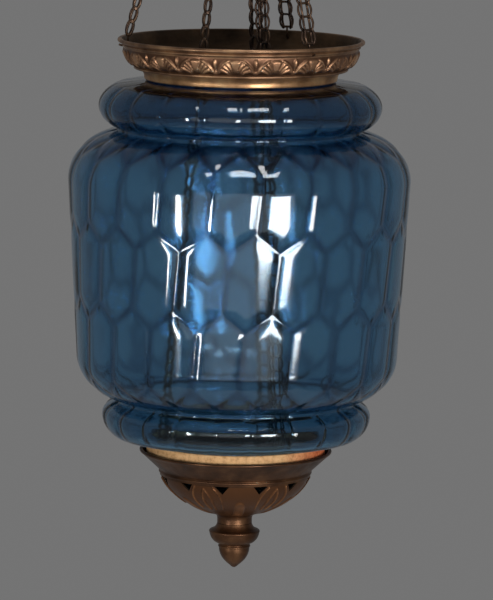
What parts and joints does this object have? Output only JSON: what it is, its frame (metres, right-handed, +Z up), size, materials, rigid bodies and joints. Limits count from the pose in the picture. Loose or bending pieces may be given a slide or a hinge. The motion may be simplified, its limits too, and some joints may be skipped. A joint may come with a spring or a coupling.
{
  "type": "pendant hall lantern",
  "caption": "Hanging hall lantern: blue honeycomb-moulded glass in an embossed brass gallery, pierced brass bottom cup with finial, on ladder chains that run over pulleys in a bell.",
  "frame": {"origin": "centre of the ceiling plate's top face, which lies against the ceiling", "axes": "+Z up, -Y towards the front of the lamp as pictured, +X to the right in the picture"},
  "size_m": [0.2513, 0.2514, 0.725],
  "materials": {
    "aged_brass": "aged, satin",
    "dark_brass": "dark patina, satin",
    "chain_brass": "aged, drawn wire",
    "wheel_brass": "turned",
    "steel": "plain",
    "cork": "cork, matte",
    "blue_glass": "mould-blown, clear blue"
  },
  "bodies": {
    "ceiling": {"ceiling_plate": "aged_brass", "hook_nut": "aged_brass", "ceiling_hook": "dark_brass"},
    "link": {"suspension_link": "dark_brass"},
    "head": {"canopy_loop": "aged_brass", "canopy_bell": "aged_brass", "pulley_frame": "dark_brass", "pulley_pin_left": "steel", "pulley_pin_front": "steel", "pulley_pin_back": "steel"},
    "pulley_left": {"pulley_wheel_left": "wheel_brass"},
    "pulley_front": {"pulley_wheel_front": "wheel_brass"},
    "pulley_back": {"pulley_wheel_back": "wheel_brass"},
    "gallery": {"gallery_ring": "aged_brass", "split_ring": "steel", "glass_shade": "blue_glass", "outer_chain_left": "chain_brass", "outer_chain_front": "chain_brass", "outer_chain_back": "chain_brass"},
    "cup": {"bottom_cup": "dark_brass", "seat_ring": "cork", "cup_lug_left": "dark_brass", "cup_lug_front": "dark_brass", "cup_lug_back": "dark_brass", "inner_chain_left": "chain_brass", "inner_chain_front": "chain_brass", "inner_chain_back": "chain_brass", "drip_pan": "aged_brass", "candle_nozzle": "aged_brass", "threaded_rod": "steel", "finial": "dark_brass"}
  },
  "joints": [
    {"name": "swing_fore_aft", "type": "hinge", "parent": "ceiling", "child": "link", "pos_m": [0, 0, -0.0438], "axis": [1, 0, 0], "range_deg": [-20, 20]},
    {"name": "swing_sideways", "type": "hinge", "parent": "link", "child": "head", "pos_m": [0, 0, -0.06125], "axis": [0, 1, 0], "range_deg": [-20, 20]},
    {"name": "glass_lift", "type": "slide", "parent": "head", "child": "gallery", "axis": [0, 0, 1], "range_m": [0, 0.03]},
    {"name": "cup_drop", "type": "slide", "parent": "head", "child": "cup", "axis": [0, 0, -1], "range_m": [0, 0.03]},
    {"name": "pulley_left_spin", "type": "hinge", "parent": "head", "child": "pulley_left", "pos_m": [-0.0184, -0.00193, -0.1308], "axis": [-0.1045, 0.9945, 0], "range_deg": [0, 175]},
    {"name": "pulley_front_spin", "type": "hinge", "parent": "head", "child": "pulley_front", "pos_m": [0.01087, -0.01497, -0.1308], "axis": [-0.809, -0.5878, 0], "range_deg": [0, 175]},
    {"name": "pulley_back_spin", "type": "hinge", "parent": "head", "child": "pulley_back", "pos_m": [0.00752, 0.0169, -0.1308], "axis": [0.9135, -0.4067, 0], "range_deg": [0, 175]}
  ],
  "couplings": [
    {"joint": "cup_drop", "follows": "glass_lift", "ratio": 1},
    {"joint": "pulley_left_spin", "follows": "glass_lift", "rad_per_m": 99.502},
    {"joint": "pulley_front_spin", "follows": "glass_lift", "rad_per_m": 99.502},
    {"joint": "pulley_back_spin", "follows": "glass_lift", "rad_per_m": 99.502}
  ]
}
